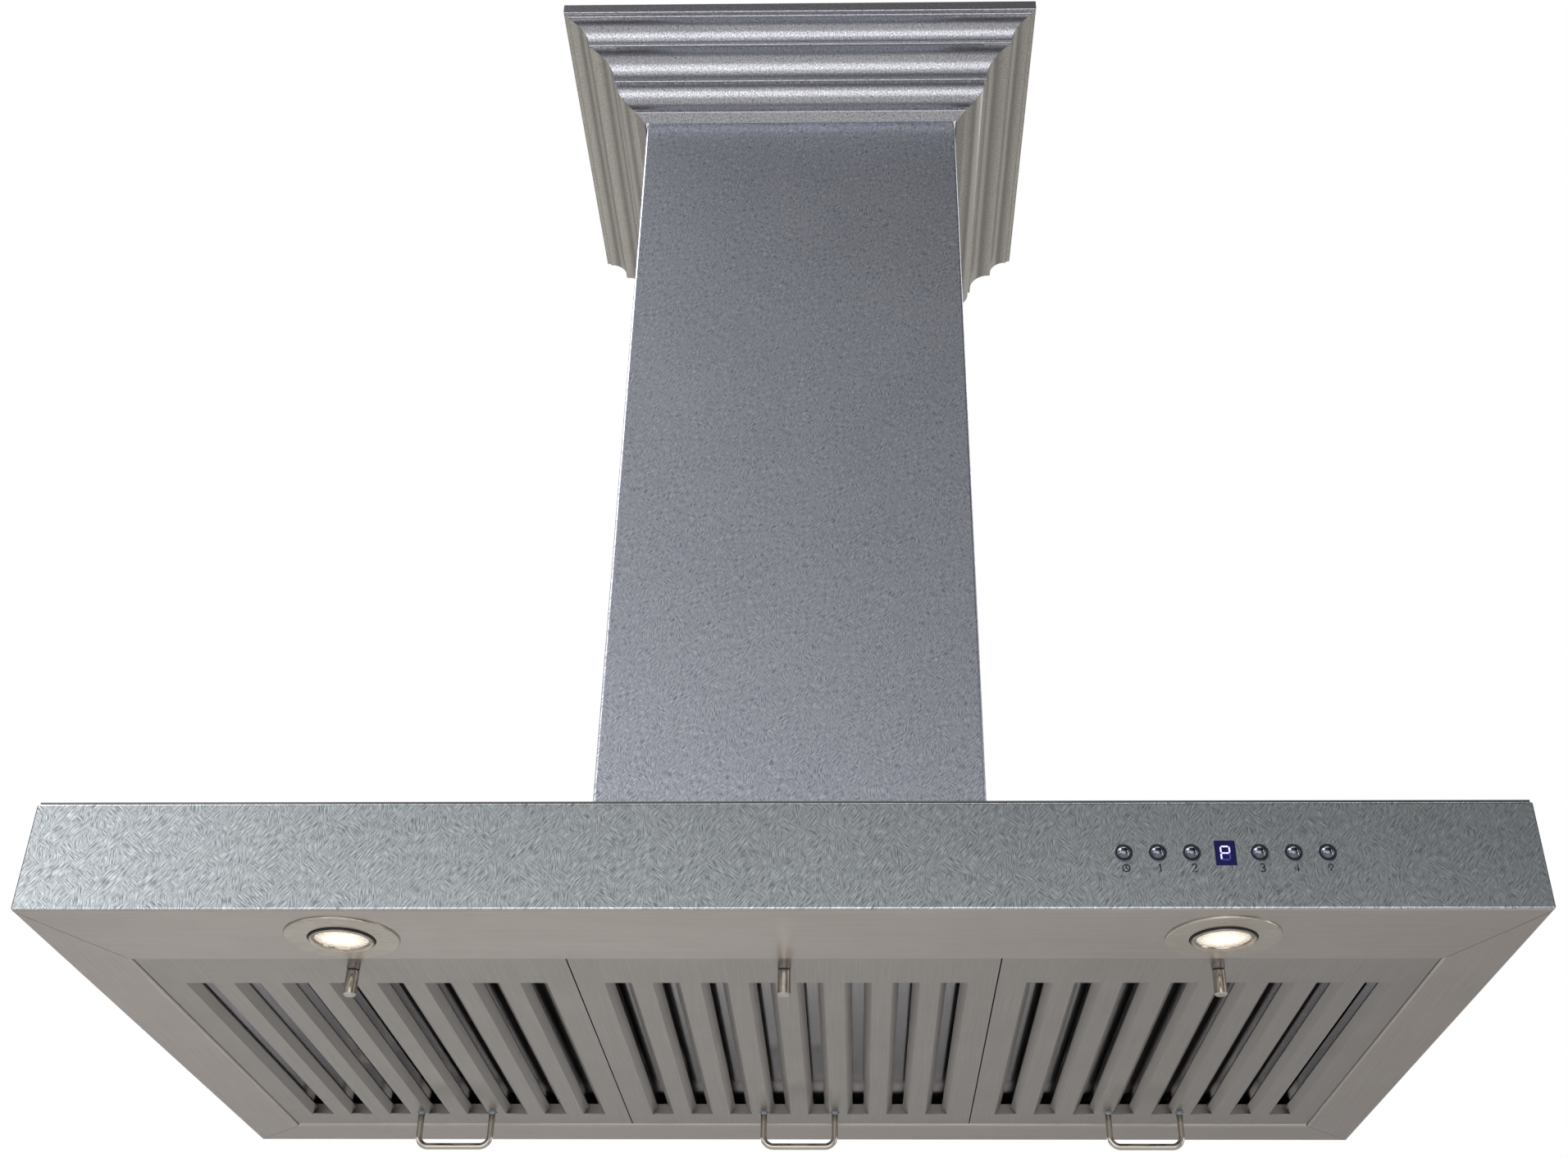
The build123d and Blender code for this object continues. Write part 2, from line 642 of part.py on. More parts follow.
def make_blower():
    b, high = blower_half, z_top + blower_height
    box = block(-b, b, -b, b, z_top, high)
    box -= block(-b + steel, b - steel, -b + steel, b - steel, z_top + steel, high - steel)
    inner = b - blower_flange
    box -= block(-inner, inner, -inner, inner, z_top - 1, z_top + steel + 1)
    box -= rod_z(0, 0, high - steel - 1, high + 1, collar_r - steel)
    save("blower_box", box)
    ax_y, ax_z = scroll_axis_y, z_top + scroll_axis_z
    s = scroll_half
    scroll = along_x(scroll_outline(0), -s, s) - along_x(scroll_outline(-steel), -s + steel, s - steel)
    scroll -= rod_x(ax_y, ax_z, -s - 1, s + 1, blade_inner_r)
    save("scroll_housing", scroll)

    blade = Box(impeller_r - blade_inner_r, blade_thick, 2 * impeller_half)
    blade = Pos((impeller_r + blade_inner_r) / 2, 0, 0) * blade
    wheel = Cylinder(impeller_r, impeller_disc)
    rim = Cylinder(impeller_r, impeller_disc) - Cylinder(blade_inner_r, 2 * impeller_disc)
    for z in (-impeller_half, impeller_half):
        wheel += Pos(0, 0, z) * rim
    for k in range(blade_count):
        wheel += Rot(0, 0, 360 * k / blade_count) * blade
    wheel += Pos(0, 0, (impeller_disc - hub_length) / 2) * Cylinder(hub_r, hub_length)
    wheel -= Cylinder(shaft_r, 4 * hub_length)
    save("impeller", Pos(0, ax_y, ax_z) * Rot(0, 90, 0) * wheel)
    shaft_end = motor_end - bearing_depth
    save("motor_shaft", rod_x(ax_y, ax_z, -hub_length - 2, shaft_end - 1, shaft_r))
    motor = rod_x(ax_y, ax_z, motor_start, motor_end, motor_r)
    ends = motor.edges().group_by(Axis.X)
    motor = fillet(ends[0] + ends[-1], motor_round)
    save("motor", motor - rod_x(ax_y, ax_z, motor_start - 1, shaft_end, shaft_r + run_clear))
    bracket = rod_x(ax_y, ax_z, s, s + strap_thick, motor_r + strap_ring)
    arm = block(s, s + strap_thick, -arm_half, arm_half, 0, blade_inner_r + arm_lap)
    for k in range(3):
        bracket += Pos(0, ax_y, ax_z) * Rot(120 * k, 0, 0) * arm
    save("motor_bracket", bracket - rod_x(ax_y, ax_z, s - 1, s + strap_thick + 1, motor_r))


def make_collar():
    base = z_top + blower_height
    collar = rod_z(0, 0, base, base + steel, collar_flange_r)
    collar += rod_z(0, 0, base, base + collar_height, collar_r)
    collar -= rod_z(0, 0, base - 1, base + collar_height + 1, collar_r - steel)
    bore = collar_r - steel
    for side, word in ((-1, "front"), (1, "back")):
        y = side * flap_pin_y
        collar -= rod_x(y, base + flap_z, -collar_r - 2, collar_r + 2, flap_pin_r + run_clear)
        disc = rod_z(0, 0, base + flap_z - flap_thick / 2, base + flap_z + flap_thick / 2,
                     bore - flap_clear)
        y0, y1 = sorted((y, side * bore))
        flap = disc & block(-bore, bore, y0, y1, base, base + collar_height)
        save(f"damper_{word}", flap + rod_x(y, base + flap_z, -collar_r, collar_r, flap_pin_r))
    save("duct_collar", collar)


os.makedirs("parts", exist_ok=True)
make_canopy()
make_chimney()
make_crown()
make_frame()
make_filters()
make_controls()
make_lamps()
make_blower()
make_collar()
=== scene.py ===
import json
from math import atan2, cos, pi, radians, sin

import bmesh
import bpy
from mathutils import Matrix, Vector


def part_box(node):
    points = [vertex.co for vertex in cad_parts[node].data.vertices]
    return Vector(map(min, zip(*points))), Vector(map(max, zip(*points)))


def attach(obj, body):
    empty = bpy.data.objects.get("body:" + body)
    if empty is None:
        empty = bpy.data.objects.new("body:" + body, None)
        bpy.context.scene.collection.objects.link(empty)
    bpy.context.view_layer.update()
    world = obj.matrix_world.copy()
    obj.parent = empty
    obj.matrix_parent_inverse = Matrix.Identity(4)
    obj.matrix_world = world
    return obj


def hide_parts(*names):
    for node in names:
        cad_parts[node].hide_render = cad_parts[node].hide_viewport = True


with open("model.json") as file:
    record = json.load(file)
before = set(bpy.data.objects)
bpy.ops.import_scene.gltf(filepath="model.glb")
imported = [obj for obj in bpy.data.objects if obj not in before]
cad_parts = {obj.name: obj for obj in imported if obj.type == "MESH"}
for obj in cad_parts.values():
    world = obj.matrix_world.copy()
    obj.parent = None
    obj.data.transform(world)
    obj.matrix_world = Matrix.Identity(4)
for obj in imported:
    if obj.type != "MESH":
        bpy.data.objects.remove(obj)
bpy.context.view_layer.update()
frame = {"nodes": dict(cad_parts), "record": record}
nodes = frame["nodes"]

# Island range hood. Metres. Origin at the ceiling plate, +Y away from the control panel, +Z up.
MM = 0.001
SIDES = ("left", "right")
BAYS = ("left", "centre", "right")

# ---- measures read from the frame ----
def middle(node):
    low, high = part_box(node)
    return (Vector(low) + Vector(high)) / 2

front_face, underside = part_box("canopy_front")[0].yz
half_width, half_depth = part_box("canopy_right")[1].x, -front_face
plate_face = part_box("filter_handle_left")[1].z
button_row = [middle(f"button_{number}").x for number in range(1, 7)]

# ---- material help ----
def linear(code):
    """An sRGB hex colour as linear RGBA."""
    parts = [int(code[k:k + 2], 16) / 255 for k in (1, 3, 5)]
    return (*[p / 12.92 if p <= 0.04045 else ((p + 0.055) / 1.055) ** 2.4 for p in parts], 1.0)

def add(tree, kind, inputs=None, out=None, stops=(), **settings):
    """Adds a node with its settings and links. Gives the output asked for, or the node."""
    made = tree.nodes.new(kind)
    for name, value in settings.items():
        setattr(made, name, value)
    for name, value in (inputs or {}).items():
        if isinstance(value, bpy.types.NodeSocket):
            tree.links.new(value, made.inputs[name])
        else:
            made.inputs[name].default_value = value
    for number, (position, colour) in enumerate(stops):
        elements = made.color_ramp.elements
        stop = elements[number] if number < len(elements) else elements.new(position)
        stop.position, stop.color = position, colour
    return made if out is None else made.outputs[out]

def start(name):
    """A new material: its tree, its shader and its object-space place."""
    material = bpy.data.materials.new(name)
    material.use_nodes = True
    tree = material.node_tree
    return material, tree, tree.nodes["Principled BSDF"], add(
        tree, "ShaderNodeTexCoord", out="Object")

def follow(tree, tone, stops, rough):
    """Colour and roughness that follow a tone. The lighter it is, the smoother."""
    colour = add(tree, "ShaderNodeValToRGB", {"Fac": tone}, "Color", stops)
    dull = add(tree, "ShaderNodeMapRange", {"Value": tone, "From Min": 0.3, "From Max": 0.7,
               "To Min": rough[1], "To Max": rough[0]}, "Result")
    return colour, dull


def dress(tree, shader, colour, dull, relief, depth_mm, metallic=1.0):
    """Gives a shader its colour, its roughness and relief of a depth."""
    bump = add(tree, "ShaderNodeBump", {"Height": relief, "Distance": depth_mm * MM}, "Normal")
    for name, value in (("Base Color", colour), ("Roughness", dull), ("Normal", bump)):
        tree.links.new(value, shader.inputs[name])
    shader.inputs["Metallic"].default_value = metallic

def drawn_out(tree, place, sizes_mm, turn=0.0, detail=2.0):
    """Noise with its own size along each axis, turned about Z."""
    turned = add(tree, "ShaderNodeVectorRotate", {"Vector": place, "Angle": turn}, "Vector",
                 rotation_type="Z_AXIS")
    scaled = add(tree, "ShaderNodeVectorMath", {0: turned, 1: [1 / (s * MM) for s in sizes_mm]},
                 "Vector", operation="MULTIPLY")
    return add(tree, "ShaderNodeTexNoise", {"Vector": scaled, "Scale": 1.0, "Detail": detail,
               "Roughness": 0.6}, "Fac")

# ---- snow finish: short scratches from random orbital abrasive pads, with painted glints in their colour ----
# Real scratches are about a tenth of a millimetre wide. They are drawn wider so that they show.
PAD_TURNS = (0.75, 1.5, 2.2)
LAYER_SHIFTS = (0.3, 0.7)
PATCH_MM, CLOUD_MM, CLOUD_SHARE = 16.0, 55.0, 0.04
# stops of the scratch tone: the contrast between its dark and light colours is painted glint
SNOW_DARK, SNOW_LIGHT = 0.38, 0.62

def snow_scratch_and_glint_tone(tree, place, along, rise, width_mm, length_mm, patch_mm):
    """The scratches on a folded sheet, and their tone over a faint cloud; the light and dark of
    that tone are painted glints. The scratches run in three directions, and patches decide which
    direction lies uppermost."""
    across = [add(tree, "ShaderNodeVectorMath", {0: place, 1: axis}, "Value",
                  operation="DOT_PRODUCT") for axis in (along, rise)]
    sheet = add(tree, "ShaderNodeCombineXYZ", {"X": across[0], "Y": across[1]}, "Vector")
    layers = [drawn_out(tree, sheet, (length_mm, width_mm, 1.0), turn) for turn in PAD_TURNS]
    scratch = layers[0]
    for layer, shift in zip(layers[1:], LAYER_SHIFTS):
        moved = add(tree, "ShaderNodeVectorMath", {0: sheet, 1: (shift, shift, 0)}, "Vector",
                    operation="ADD")
        patch = add(tree, "ShaderNodeTexNoise", {"Vector": moved, "Scale": 1 / (patch_mm * MM),
                    "Detail": 2.0, "Roughness": 0.6}, "Fac")
        edge = add(tree, "ShaderNodeMapRange", {"Value": patch, "From Min": 0.42,
                   "From Max": 0.58}, "Result")
        scratch = add(tree, "ShaderNodeMix", {0: edge, 2: scratch, 3: layer}, 0,
                      data_type="FLOAT")
    cloud = add(tree, "ShaderNodeTexNoise", {"Vector": place, "Scale": 1 / (CLOUD_MM * MM),
                "Detail": 3.0, "Roughness": 0.6}, "Fac")
    tone = add(tree, "ShaderNodeMix", {0: CLOUD_SHARE, 2: scratch, 3: cloud}, 0,
               data_type="FLOAT")
    return scratch, tone

def snow_steel(name, low, high, rough, along=(1, 1, 0), rise=(0, 0, 1), width_mm=0.6,
               length_mm=4.5, patch_mm=PATCH_MM, depth_mm=0.05):
    """Stainless sheet finished by random orbital scratching: fine, short, crossing scratches with
    no grain direction. Their relief is real; the light and dark of their colour is painted glint."""
    material, tree, shader, place = start(name)
    scratch, tone = snow_scratch_and_glint_tone(tree, place, along, rise, width_mm, length_mm, patch_mm)
    stops = ((SNOW_DARK, linear(low)), (SNOW_LIGHT, linear(high)))
    dress(tree, shader, *follow(tree, tone, stops, rough), scratch, depth_mm)
    return material

# ---- brushed finish: long straight lines from an abrasive belt ----
# Real belt lines are a few hundredths of a millimetre wide. They are drawn wider so that they show.
BELT_LINE_MM, BELT_RUN_MM = 0.7, 60.0
BRUSHED_DARK, BRUSHED_LIGHT = 0.36, 0.64

def brushed_tone(tree, place, grain, along_mm=BELT_RUN_MM):
    """Belt lines along the grain, and their tone over a cloud left by the rolling mill."""
    sizes = [BELT_LINE_MM] * 3
    sizes["XYZ".index(grain)] = along_mm
    lines = drawn_out(tree, place, sizes, detail=3.0)
    cloud = add(tree, "ShaderNodeTexNoise", {"Vector": place, "Scale": 1 / (80.0 * MM),
                "Detail": 4.0, "Roughness": 0.6}, "Fac")
    return lines, add(tree, "ShaderNodeMix", {0: 0.4, 2: lines, 3: cloud}, 0, data_type="FLOAT")

def brushed_steel(name, low, high, rough, grain, along_mm=BELT_RUN_MM, depth_mm=0.008):
    """Stainless sheet brushed with a long belt: straight fine lines along the grain that draw
    reflections out across it."""
    material, tree, shader, place = start(name)
    lines, tone = brushed_tone(tree, place, grain, along_mm)
    stops = ((BRUSHED_DARK, linear(low)), (BRUSHED_LIGHT, linear(high)))
    dress(tree, shader, *follow(tree, tone, stops, rough), lines, depth_mm)
    return material

def canopy_steel(name, snow, brushed, grain):
    """One stainless sheet with two finishes: snow scratches on the upright outer faces, with
    painted glints in their colour, and a straight brushed grain on the folded-in rim and inside,
    which looks smoother and warmer."""
    material, tree, shader, place = start(name)
    facing = add(tree, "ShaderNodeTexCoord", out="Normal")
    down = add(tree, "ShaderNodeSeparateXYZ", {"Vector": facing}, "Z")
    rim_share = add(tree, "ShaderNodeMapRange", {"Value": down, "From Min": -0.75,
                    "From Max": -0.55, "To Min": 1, "To Max": 0}, "Result")
    folded = add(tree, "ShaderNodeVectorMath", {0: place}, "Vector", operation="ABSOLUTE")
    from_axis = add(tree, "ShaderNodeSeparateXYZ", {"Vector": folded}).outputs
    within = [add(tree, "ShaderNodeMath", {0: from_axis[axis], 1: reach - 3 * MM}, "Value",
                  operation="LESS_THAN") for axis, reach in (("X", half_width), ("Y", half_depth))]
    inside = add(tree, "ShaderNodeMath", {0: within[0], 1: within[1]}, "Value",
                 operation="MULTIPLY")
    below = add(tree, "ShaderNodeMath", {0: rim_share, 1: inside}, "Value", operation="MAXIMUM")

    scratch, upright_glint_tone = snow_scratch_and_glint_tone(tree, place, (1, 1, 0), (0, 0, 1), 0.65, 6.0, PATCH_MM)
    upright = add(tree, "ShaderNodeValToRGB", {"Fac": upright_glint_tone}, "Color",
                  ((SNOW_DARK, linear(snow[0])), (SNOW_LIGHT, linear(snow[1]))))
    dull_upright = add(tree, "ShaderNodeMapRange", {"Value": scratch, "From Min": 0.3,
                       "From Max": 0.7, "To Min": 0.40, "To Max": 0.28}, "Result")
    lines, rim_tone = brushed_tone(tree, place, grain)
    rim, dull_rim = follow(tree, rim_tone, ((BRUSHED_DARK, linear(brushed[0])),
                           (BRUSHED_LIGHT, linear(brushed[1]))), (0.28, 0.36))
    shallow = add(tree, "ShaderNodeMath", {0: lines, 1: 0.15}, "Value", operation="MULTIPLY")
    colour = add(tree, "ShaderNodeMix", {0: below, 6: upright, 7: rim}, 2, data_type="RGBA")
    dull, relief = (add(tree, "ShaderNodeMix", {0: below, 2: outer, 3: inner}, 0,
                        data_type="FLOAT")
                    for outer, inner in ((dull_upright, dull_rim), (scratch, shallow)))
    dress(tree, shader, colour, dull, relief, 0.05)
    return material

def turned_metal(name, colour, worn, rough, ring_mm=0.4, depth_mm=0.003):
    """Turned and polished metal: a clean mirror with faint lathe marks, drawn coarser than real
    ones so that they show, and smudges a fingertip apart."""
    material, tree, shader, place = start(name)
    smudge = add(tree, "ShaderNodeTexNoise", {"Vector": place, "Scale": 1 / (6.0 * MM),
                 "Detail": 3.0, "Roughness": 0.6}, "Fac")
    rings = add(tree, "ShaderNodeTexNoise", {"Vector": place, "Scale": 1 / (ring_mm * MM),
                "Detail": 2.0, "Roughness": 0.6}, "Fac")
    stops = ((0.3, linear(colour)), (0.75, linear(worn)))
    dress(tree, shader, *follow(tree, smudge, stops, rough), rings, depth_mm)
    return material

def tinted_wire(name, welded_at):
    """Drawn and polished wire. Welding heat leaves straw, then blue, within a few millimetres of
    the plate; beyond that the wire is bright."""
    material, tree, shader, place = start(name)
    height = add(tree, "ShaderNodeSeparateXYZ", {"Vector": place}, "Z")
    away = add(tree, "ShaderNodeMapRange", {"Value": height, "From Min": welded_at - 10 * MM,
               "From Max": welded_at, "To Min": 1.0, "To Max": 0.0}, "Result")
    patchy = add(tree, "ShaderNodeTexNoise", {"Vector": place, "Scale": 1 / (3.0 * MM),
                 "Detail": 2.0, "Roughness": 0.6}, "Fac")
    shift = add(tree, "ShaderNodeMapRange", {"Value": patchy, "To Min": -0.12, "To Max": 0.12},
                "Result")
    far = add(tree, "ShaderNodeMath", {0: away, 1: shift}, "Value", operation="SUBTRACT")
    tint = add(tree, "ShaderNodeValToRGB", {"Fac": far}, "Color", (
        (0.0, linear("#7A736C")), (0.18, linear("#646C78")), (0.38, linear("#7F868C")),
        (0.6, linear("#A09078")), (0.9, linear("#BDB6AE"))))
    dull = add(tree, "ShaderNodeMapRange", {"Value": far, "To Min": 0.32, "To Max": 0.17},
               "Result")
    drawn = add(tree, "ShaderNodeTexNoise", {"Vector": place, "Scale": 1 / (0.8 * MM),
                "Detail": 2.0, "Roughness": 0.6}, "Fac")
    dress(tree, shader, tint, dull, drawn, 0.01)
    return material

def zinc_steel(name):
    """Hot-dip galvanised sheet: dull zinc with a flower of large crystals."""
    material, tree, shader, place = start(name)
    crystal = add(tree, "ShaderNodeTexVoronoi", {"Vector": place, "Scale": 1 / (11 * MM)},
                  "Color")
    tone = add(tree, "ShaderNodeSeparateColor", {"Color": crystal}, "Red")
    tint = add(tree, "ShaderNodeValToRGB", {"Fac": tone}, "Color",
               ((0.0, linear("#7C8286")), (1.0, linear("#A4A9AC"))))
    dull = add(tree, "ShaderNodeMapRange", {"Value": tone, "To Min": 0.42, "To Max": 0.6},
               "Result")
    tree.links.new(tint, shader.inputs["Base Color"])
    tree.links.new(dull, shader.inputs["Roughness"])
    shader.inputs["Metallic"].default_value = 0.9
    return material

def moulded(name, colour, shine, rough, grain_mm=0.5, depth_mm=0.01):
    """Moulded or painted surface: near-even colour over a fine spark-eroded grain."""
    material, tree, shader, place = start(name)
    grain = add(tree, "ShaderNodeTexNoise", {"Vector": place, "Scale": 1 / (grain_mm * MM),
                "Detail": 3.0, "Roughness": 0.6}, "Fac")
    tint = add(tree, "ShaderNodeValToRGB", {"Fac": grain}, "Color",
               ((0.3, linear(colour)), (0.8, linear(shine))))
    dull = add(tree, "ShaderNodeMapRange", {"Value": grain, "To Min": rough - 0.05,
               "To Max": rough + 0.08}, "Result")
    dress(tree, shader, tint, dull, grain, depth_mm, metallic=0.0)
    return material

def glowing(name, colour, dim, strength, mottle_mm=0.8):
    """A lit plastic segment, made a little uneven by its diffuser."""
    material, tree, shader, place = start(name)
    mottle = add(tree, "ShaderNodeTexNoise", {"Vector": place, "Scale": 1 / (mottle_mm * MM),
                 "Detail": 2.0, "Roughness": 0.6}, "Fac")
    light = add(tree, "ShaderNodeValToRGB", {"Fac": mottle}, "Color",
                ((0.35, linear(dim)), (0.6, linear(colour))))
    tree.links.new(light, shader.inputs["Emission Color"])
    shader.inputs["Emission Strength"].default_value = strength
    shader.inputs["Base Color"].default_value = linear("#202020")
    shader.inputs["Roughness"].default_value = 0.3
    return material

def lit_glass(name, centre, reach):
    """Pressed borosilicate glass, lit from behind: white over the filament, warmer and dimmer
    towards its edge."""
    material, tree, shader, place = start(name)
    folded = add(tree, "ShaderNodeVectorMath", {0: place}, "Vector", operation="ABSOLUTE")
    target = (abs(centre.x), abs(centre.y), abs(centre.z))
    far = add(tree, "ShaderNodeVectorMath", {0: folded, 1: target}, "Value",
              operation="DISTANCE")
    share = add(tree, "ShaderNodeMapRange", {"Value": far, "From Min": 0, "From Max": reach},
                "Result")
    flecks = add(tree, "ShaderNodeTexNoise", {"Vector": place, "Scale": 1 / (1.6 * MM),
                 "Detail": 2.0, "Roughness": 0.6}, "Fac")
    shift = add(tree, "ShaderNodeMapRange", {"Value": flecks, "To Min": -0.3, "To Max": 0.3},
                "Result")
    dusty = add(tree, "ShaderNodeMath", {0: share, 1: shift}, "Value", operation="ADD")
    light = add(tree, "ShaderNodeValToRGB", {"Fac": dusty}, "Color", (
        (0.0, linear("#FFFFFF")), (0.42, linear("#FFF6E8")), (0.66, linear("#EBDAC4")),
        (0.88, linear("#B3A290")), (1.0, linear("#8F8274"))))
    tree.links.new(light, shader.inputs["Emission Color"])
    shader.inputs["Emission Strength"].default_value = 1.0
    shader.inputs["Base Color"].default_value = linear("#D8D2C8")
    shader.inputs["Roughness"].default_value = 0.1
    shader.inputs["Coat Weight"].default_value = 1.0
    return material

# ---- materials ----
# canopy: cool crossing scratches on the faces, with painted glints in their colour, and a smooth
# warm grey rim below
SNOW_AND_GLINT = ("#767C80", "#D2D7DA")
BRUSHED = ("#ABA39E", "#B9B1AC")
steel_ends = canopy_steel("stainless_canopy_ends", SNOW_AND_GLINT, BRUSHED, "X")
steel_sides = canopy_steel("stainless_canopy_sides", SNOW_AND_GLINT, BRUSHED, "Y")
# chimney: the same snow finish in a bluer colour than the canopy, with stronger painted glints
steel_chimney = snow_steel("stainless_snow_chimney", "#7E8392", "#F0F3FC", (0.26, 0.42))
# crown: snow-finished strip with painted glints in its scratch colour, rolled to shape, which
# leaves it smoother and its coves bright
steel_crown = snow_steel("stainless_snow_crown", "#7A7A81", "#CECED5", (0.18, 0.30), (1, 0, 0),
                         (0, -1, 1), 0.8, 2.5, 5.0, 0.06)
# crown sides: the same strip, seen along its length, given a flatter, warmer colour of its own:
# painted light for how the light falls on the sides, over painted glints in the scratch colour
crown_sides_painted_light = {side: snow_steel(f"stainless_snow_crown_{side}", "#9B9791", "#C5C0BA", (0.3, 0.4),
                                (0, 1, 0), (way, 0, 1), 0.8, 2.5, 5.0, 0.03)
               for side, way in zip(SIDES, (-1, 1))}
# top sheet: brushed, in a darker grey than the faces
top_steel = brushed_steel("stainless_top_sheet", "#6C6C6C", "#8A8A8A", (0.3, 0.4), "X")
# filter plates: brushed front to back, an even satin grey
filter_steel = brushed_steel("stainless_brushed_filter", "#9B9692", "#A6A19D", (0.3, 0.4), "Y")
# baffles: bright rolled sheet, so their ridges catch a sharp line of light
baffle_steel = brushed_steel("stainless_rolled_baffle", "#858285", "#9C999C", (0.14, 0.2), "Y")
# lamp trims: spun steel, a little paler than the rim around them
trim_steel = brushed_steel("stainless_spun_trim", "#ABA399", "#C6BFB6", (0.3, 0.38), "X", 8.0)
# handles: polished wire, bright lines along it and a heat tint at its feet
wire_steel = tinted_wire("stainless_polished_wire", plate_face)
# weld beads: the same steel where it was hottest, grey with a trace of blue
weld_steel = tinted_wire("stainless_weld_bead", plate_face + 3 * MM)
# latch knobs: turned and polished, with upright light and dark bands
knob_steel = turned_metal("stainless_turned_knob", "#CEC8C0", "#ABA49B", (0.08, 0.16))
# buttons and bezels: chrome plate, small dark mirrors with one bright spot; the colour is darkened
# below real chrome, a painted shade for the dark room they reflect
chrome = turned_metal("chrome_plate_painted_dark", "#7A7D87", "#686B74", (0.05, 0.12), depth_mm=0.001)
# lamp rings: turned steel with a soft bright edge
ring_steel = turned_metal("stainless_turned_ring", "#C4B9AE", "#A89C90", (0.16, 0.26))
# reflectors: polished aluminium, nearly white
reflector_metal = turned_metal("aluminium_polished_reflector", "#D8D8DA", "#C0C0C4", (0.06, 0.14))
# frame, blower and boxes: galvanised sheet with visible crystals
zinc = zinc_steel("galvanised_sheet")
# bushes and small fittings: moulded nylon, a soft black
black_plastic = moulded("nylon_black_moulded", "#0C0C0C", "#1C1C1C", 0.45)
# motor: baked enamel, black with a slight shine
motor_paint = moulded("enamel_black_baked", "#141416", "#242428", 0.35)
# circuit board: glass fibre under a green solder mask
board = moulded("glass_fibre_green_masked", "#0E4A24", "#1B6B36", 0.3)
# display window: smoked acrylic, a glossy dark blue
window = moulded("acrylic_smoked_window", "#0D0E3C", "#191A58", 0.12, depth_mm=0.001)
# marks: pad-printed epoxy ink, dull and near black
ink = moulded("epoxy_ink_printed", "#0A0B0C", "#151617", 0.7, 0.3, 0.002)
# lamp bases: pressed ceramic, matt cream
lamp_base = moulded("ceramic_cream_pressed", "#B9B09C", "#D0C8B6", 0.6)
# digit bars: diffused segments, lit ones near white and unlit ones a dim violet
digit_lit = glowing("segment_lit_violet", "#D6D0FF", "#B9AEFF", 1.7)
digit_dim = glowing("segment_unlit_violet", "#4A44B8", "#3A349A", 0.7)

FINISH = {
    "snow_steel": steel_chimney, "crown_steel": steel_crown, "brushed_steel": filter_steel,
    "brushed_trim": trim_steel, "bright_steel": wire_steel, "chrome": chrome,
    "galvanised_steel": zinc, "motor_paint": motor_paint, "black_plastic": black_plastic,
    "circuit_board": board, "display_window": window, "lamp_reflector": trim_steel,
}
SPECIAL = {
    "canopy_front": steel_ends, "canopy_rear": steel_ends, "canopy_left": steel_sides,
    "canopy_right": steel_sides, "canopy_top": top_steel,
    "crown_left": crown_sides_painted_light["left"], "crown_right": crown_sides_painted_light["right"],
}
SPECIAL.update({f"latch_knob_{bay}": knob_steel for bay in BAYS})
SPECIAL.update({f"filter_baffles_{bay}": baffle_steel for bay in BAYS})
for row in frame["record"]["subparts"]:
    piece = nodes[row["node"]]
    piece.data.materials.clear()
    piece.data.materials.append(SPECIAL.get(row["node"], FINISH[row["material_slot"]]))

# ---- mesh help ----
SHARP_EDGE = radians(35)

def keep_mesh(name, build, finish, body, smooth=True):
    """Turns a bmesh into a piece with its finish, riding on a body."""
    bmesh.ops.recalc_face_normals(build, faces=build.faces)
    mesh = bpy.data.meshes.new(name)
    build.to_mesh(mesh)
    build.free()
    piece = bpy.data.objects.new(name, mesh)
    bpy.context.collection.objects.link(piece)
    mesh.materials.append(finish)
    if smooth:
        mesh.shade_smooth()
        mesh.set_sharp_from_angle(angle=SHARP_EDGE)
    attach(piece, body)
    return piece

def at_scale(profile):
    """A profile given in millimetres, in metres."""
    return [(r * MM, z * MM) for r, z in profile]

def revolve(profile, centre, steps=72):
    """Turns a closed profile of (radius, height) points about an upright axis."""
    build = bmesh.new()
    rings = []
    for step in range(steps):
        angle = 2 * pi * step / steps
        rings.append([build.verts.new(centre + Vector((r * cos(angle), r * sin(angle), z)))
                      for r, z in profile])
    for step in range(steps):
        here, there = rings[step], rings[(step + 1) % steps]
        for k in range(len(profile)):
            n = (k + 1) % len(profile)
            build.faces.new((here[k], here[n], there[n], there[k]))
    return build

def bowl(profile, centre, steps, thick):
    """A shell turned from an open profile of (radius, height) points, open at both ends."""
    outer = [(r + thick, z + thick * 0.4) for r, z in reversed(profile)]
    return revolve(list(profile) + outer, centre, steps)

def ribbon(build, points, width, face):
    """A flat printed stroke along points in the (x, z) plane at the given y."""
    half = width / 2
    sides = []
    for k, point in enumerate(points):
        before, after = points[max(k - 1, 0)], points[min(k + 1, len(points) - 1)]
        run = (Vector(after) - Vector(before)).normalized()
        out = Vector((-run.y, run.x)) * half
        sides.append([build.verts.new((point[0] + s * out.x, face, point[1] + s * out.y))
                      for s in (1, -1)])
    for (a, b), (c, d) in zip(sides, sides[1:]):
        build.faces.new((a, b, d, c))

def arc(x, z, radius, first, last, steps=14):
    """Points on a circle, angles in degrees anticlockwise from +X."""
    turns = [radians(first + (last - first) * k / steps) for k in range(steps + 1)]
    return [(x + radius * cos(t), z + radius * sin(t)) for t in turns]

